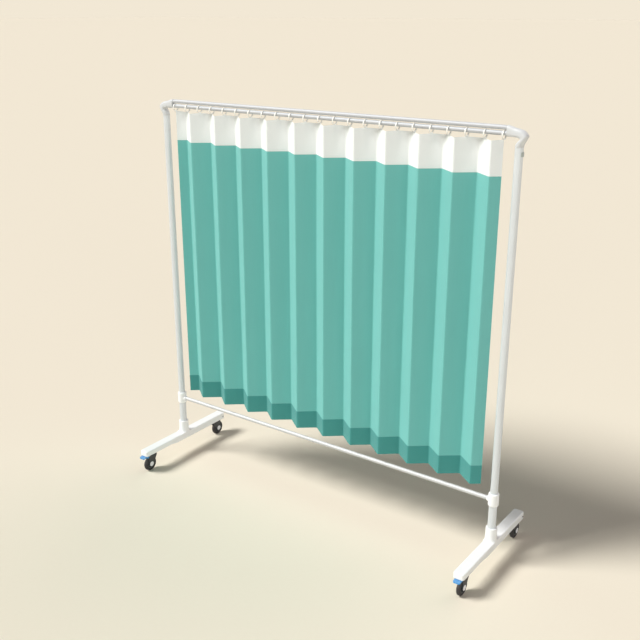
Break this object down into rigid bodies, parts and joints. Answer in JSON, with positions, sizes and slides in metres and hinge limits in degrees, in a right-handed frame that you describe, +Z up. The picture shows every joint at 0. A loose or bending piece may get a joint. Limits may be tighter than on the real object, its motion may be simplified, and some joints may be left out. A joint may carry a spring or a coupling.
{
  "type": "ward privacy screen",
  "caption": "Free-standing privacy screen: a pleated curtain on rings between two posts, each on a foot with swivel casters and a brake pedal.",
  "frame": {"origin": "on the floor, midway between the two posts", "axes": "+X from the left post to the right post, +Y away from the side with the brake pedals, +Z up"},
  "size_m": [1.8636, 0.616, 1.8673],
  "materials": {
    "white_enamel": "smooth satin white",
    "post_enamel": "satin light grey",
    "rail_steel": "satin",
    "fitting_plastic": "satin grey",
    "tyre_rubber": "matt black",
    "caster_plastic": "matt dark grey",
    "axle_cap": "smooth light grey",
    "pedal_blue": "smooth mid blue",
    "panel_cloth": "plain weave, teal",
    "hem_cloth": "plain weave, dark teal",
    "header_cloth": "plain weave, white",
    "ring_plastic": "smooth white",
    "buffer_rubber": "matt grey",
    "screw_steel": "plain"
  },
  "bodies": {
    "screen_frame": {"foot_left": "white_enamel", "foot_right": "white_enamel", "lower_tube_left": "post_enamel", "lower_tube_right": "post_enamel", "rail_collar_left": "white_enamel", "rail_collar_right": "white_enamel", "post_left": "post_enamel", "post_right": "post_enamel", "end_fitting_left": "fitting_plastic", "end_fitting_right": "fitting_plastic", "top_tube": "rail_steel", "curtain_rod": "rail_steel", "bottom_rail": "rail_steel", "curtain_panel": "panel_cloth", "curtain_header": "header_cloth", "curtain_hem": "hem_cloth", "curtain_ring_01": "ring_plastic", "foot_screw_left": "screw_steel", "foot_screw_right": "screw_steel", "buffer_pad": "buffer_rubber"},
    "caster_front_left": {"caster_fork_front_left": "caster_plastic", "axle_front_left": "axle_cap"},
    "wheel_front_left": {"tyre_front_left": "tyre_rubber", "wheel_hub_front_left": "caster_plastic"},
    "pedal_left": {"brake_pedal_left": "pedal_blue"},
    "caster_front_right": {"caster_fork_front_right": "caster_plastic", "axle_front_right": "axle_cap"},
    "wheel_front_right": {"tyre_front_right": "tyre_rubber", "wheel_hub_front_right": "caster_plastic"},
    "pedal_right": {"brake_pedal_right": "pedal_blue"},
    "caster_rear_left": {"caster_fork_rear_left": "caster_plastic", "axle_rear_left": "axle_cap"},
    "wheel_rear_left": {"tyre_rear_left": "tyre_rubber", "wheel_hub_rear_left": "caster_plastic"},
    "caster_rear_right": {"caster_fork_rear_right": "caster_plastic", "axle_rear_right": "axle_cap"},
    "wheel_rear_right": {"tyre_rear_right": "tyre_rubber", "wheel_hub_rear_right": "caster_plastic"},
    "ring_02": {"curtain_ring_02": "ring_plastic"},
    "ring_03": {"curtain_ring_03": "ring_plastic"},
    "ring_04": {"curtain_ring_04": "ring_plastic"},
    "ring_05": {"curtain_ring_05": "ring_plastic"},
    "ring_06": {"curtain_ring_06": "ring_plastic"},
    "ring_07": {"curtain_ring_07": "ring_plastic"},
    "ring_08": {"curtain_ring_08": "ring_plastic"},
    "ring_09": {"curtain_ring_09": "ring_plastic"},
    "ring_10": {"curtain_ring_10": "ring_plastic"},
    "ring_11": {"curtain_ring_11": "ring_plastic"},
    "ring_12": {"curtain_ring_12": "ring_plastic"},
    "ring_13": {"curtain_ring_13": "ring_plastic"},
    "ring_14": {"curtain_ring_14": "ring_plastic"},
    "ring_15": {"curtain_ring_15": "ring_plastic"},
    "ring_16": {"curtain_ring_16": "ring_plastic"},
    "ring_17": {"curtain_ring_17": "ring_plastic"},
    "ring_18": {"curtain_ring_18": "ring_plastic"},
    "ring_19": {"curtain_ring_19": "ring_plastic"},
    "ring_20": {"curtain_ring_20": "ring_plastic"},
    "ring_21": {"curtain_ring_21": "ring_plastic"},
    "ring_22": {"curtain_ring_22": "ring_plastic"},
    "curtain_leader": {"curtain_ring_23": "ring_plastic"}
  },
  "joints": [
    {"name": "caster_swivel_front_left", "type": "hinge", "parent": "screen_frame", "child": "caster_front_left", "pos_m": [-0.9, -0.236, 0.0877], "axis": [0, 0, 1], "continuous": true},
    {"name": "wheel_spin_front_left", "type": "hinge", "parent": "caster_front_left", "child": "wheel_front_left", "pos_m": [-0.9, -0.26, 0.0375], "axis": [1, 0, 0], "continuous": true},
    {"name": "brake_press_left", "type": "hinge", "parent": "caster_front_left", "child": "pedal_left", "pos_m": [-0.9, -0.268, 0.0805], "axis": [1, 0, 0], "range_deg": [0, 15]},
    {"name": "caster_swivel_front_right", "type": "hinge", "parent": "screen_frame", "child": "caster_front_right", "pos_m": [0.9, -0.236, 0.0877], "axis": [0, 0, 1], "continuous": true},
    {"name": "wheel_spin_front_right", "type": "hinge", "parent": "caster_front_right", "child": "wheel_front_right", "pos_m": [0.9, -0.26, 0.0375], "axis": [1, 0, 0], "continuous": true},
    {"name": "brake_press_right", "type": "hinge", "parent": "caster_front_right", "child": "pedal_right", "pos_m": [0.9, -0.268, 0.0805], "axis": [1, 0, 0], "range_deg": [0, 15]},
    {"name": "caster_swivel_rear_left", "type": "hinge", "parent": "screen_frame", "child": "caster_rear_left", "pos_m": [-0.9, 0.236, 0.0877], "axis": [0, 0, 1], "continuous": true},
    {"name": "wheel_spin_rear_left", "type": "hinge", "parent": "caster_rear_left", "child": "wheel_rear_left", "pos_m": [-0.9, 0.26, 0.0375], "axis": [1, 0, 0], "continuous": true},
    {"name": "caster_swivel_rear_right", "type": "hinge", "parent": "screen_frame", "child": "caster_rear_right", "pos_m": [0.9, 0.236, 0.0877], "axis": [0, 0, 1], "continuous": true},
    {"name": "wheel_spin_rear_right", "type": "hinge", "parent": "caster_rear_right", "child": "wheel_rear_right", "pos_m": [0.9, 0.26, 0.0375], "axis": [1, 0, 0], "continuous": true},
    {"name": "ring_slide_02", "type": "slide", "parent": "screen_frame", "child": "ring_02", "axis": [-1, 0, 0], "range_m": [0, 0.057]},
    {"name": "ring_slide_03", "type": "slide", "parent": "screen_frame", "child": "ring_03", "axis": [-1, 0, 0], "range_m": [0, 0.1138]},
    {"name": "ring_slide_04", "type": "slide", "parent": "screen_frame", "child": "ring_04", "axis": [-1, 0, 0], "range_m": [0, 0.1706]},
    {"name": "ring_slide_05", "type": "slide", "parent": "screen_frame", "child": "ring_05", "axis": [-1, 0, 0], "range_m": [0, 0.2274]},
    {"name": "ring_slide_06", "type": "slide", "parent": "screen_frame", "child": "ring_06", "axis": [-1, 0, 0], "range_m": [0, 0.2842]},
    {"name": "ring_slide_07", "type": "slide", "parent": "screen_frame", "child": "ring_07", "axis": [-1, 0, 0], "range_m": [0, 0.3411]},
    {"name": "ring_slide_08", "type": "slide", "parent": "screen_frame", "child": "ring_08", "axis": [-1, 0, 0], "range_m": [0, 0.3979]},
    {"name": "ring_slide_09", "type": "slide", "parent": "screen_frame", "child": "ring_09", "axis": [-1, 0, 0], "range_m": [0, 0.4547]},
    {"name": "ring_slide_10", "type": "slide", "parent": "screen_frame", "child": "ring_10", "axis": [-1, 0, 0], "range_m": [0, 0.5115]},
    {"name": "ring_slide_11", "type": "slide", "parent": "screen_frame", "child": "ring_11", "axis": [-1, 0, 0], "range_m": [0, 0.5683]},
    {"name": "ring_slide_12", "type": "slide", "parent": "screen_frame", "child": "ring_12", "axis": [-1, 0, 0], "range_m": [0, 0.6251]},
    {"name": "ring_slide_13", "type": "slide", "parent": "screen_frame", "child": "ring_13", "axis": [-1, 0, 0], "range_m": [0, 0.682]},
    {"name": "ring_slide_14", "type": "slide", "parent": "screen_frame", "child": "ring_14", "axis": [-1, 0, 0], "range_m": [0, 0.7388]},
    {"name": "ring_slide_15", "type": "slide", "parent": "screen_frame", "child": "ring_15", "axis": [-1, 0, 0], "range_m": [0, 0.7956]},
    {"name": "ring_slide_16", "type": "slide", "parent": "screen_frame", "child": "ring_16", "axis": [-1, 0, 0], "range_m": [0, 0.8524]},
    {"name": "ring_slide_17", "type": "slide", "parent": "screen_frame", "child": "ring_17", "axis": [-1, 0, 0], "range_m": [0, 0.9092]},
    {"name": "ring_slide_18", "type": "slide", "parent": "screen_frame", "child": "ring_18", "axis": [-1, 0, 0], "range_m": [0, 0.9661]},
    {"name": "ring_slide_19", "type": "slide", "parent": "screen_frame", "child": "ring_19", "axis": [-1, 0, 0], "range_m": [0, 1.0229]},
    {"name": "ring_slide_20", "type": "slide", "parent": "screen_frame", "child": "ring_20", "axis": [-1, 0, 0], "range_m": [0, 1.0797]},
    {"name": "ring_slide_21", "type": "slide", "parent": "screen_frame", "child": "ring_21", "axis": [-1, 0, 0], "range_m": [0, 1.1365]},
    {"name": "ring_slide_22", "type": "slide", "parent": "screen_frame", "child": "ring_22", "axis": [-1, 0, 0], "range_m": [0, 1.1933]},
    {"name": "curtain_draw", "type": "slide", "parent": "screen_frame", "child": "curtain_leader", "axis": [-1, 0, 0], "range_m": [0, 1.25], "deforming": ["curtain_panel", "curtain_header", "curtain_hem"]}
  ],
  "couplings": [
    {"joint": "ring_slide_02", "follows": "curtain_draw", "ratio": 0.045455},
    {"joint": "ring_slide_03", "follows": "curtain_draw", "ratio": 0.090909},
    {"joint": "ring_slide_04", "follows": "curtain_draw", "ratio": 0.13636},
    {"joint": "ring_slide_05", "follows": "curtain_draw", "ratio": 0.18182},
    {"joint": "ring_slide_06", "follows": "curtain_draw", "ratio": 0.22727},
    {"joint": "ring_slide_07", "follows": "curtain_draw", "ratio": 0.27273},
    {"joint": "ring_slide_08", "follows": "curtain_draw", "ratio": 0.31818},
    {"joint": "ring_slide_09", "follows": "curtain_draw", "ratio": 0.36364},
    {"joint": "ring_slide_10", "follows": "curtain_draw", "ratio": 0.40909},
    {"joint": "ring_slide_11", "follows": "curtain_draw", "ratio": 0.45454},
    {"joint": "ring_slide_12", "follows": "curtain_draw", "ratio": 0.5},
    {"joint": "ring_slide_13", "follows": "curtain_draw", "ratio": 0.54546},
    {"joint": "ring_slide_14", "follows": "curtain_draw", "ratio": 0.59091},
    {"joint": "ring_slide_15", "follows": "curtain_draw", "ratio": 0.63636},
    {"joint": "ring_slide_16", "follows": "curtain_draw", "ratio": 0.68182},
    {"joint": "ring_slide_17", "follows": "curtain_draw", "ratio": 0.72727},
    {"joint": "ring_slide_18", "follows": "curtain_draw", "ratio": 0.77273},
    {"joint": "ring_slide_19", "follows": "curtain_draw", "ratio": 0.81818},
    {"joint": "ring_slide_20", "follows": "curtain_draw", "ratio": 0.86364},
    {"joint": "ring_slide_21", "follows": "curtain_draw", "ratio": 0.90909},
    {"joint": "ring_slide_22", "follows": "curtain_draw", "ratio": 0.95454}
  ]
}
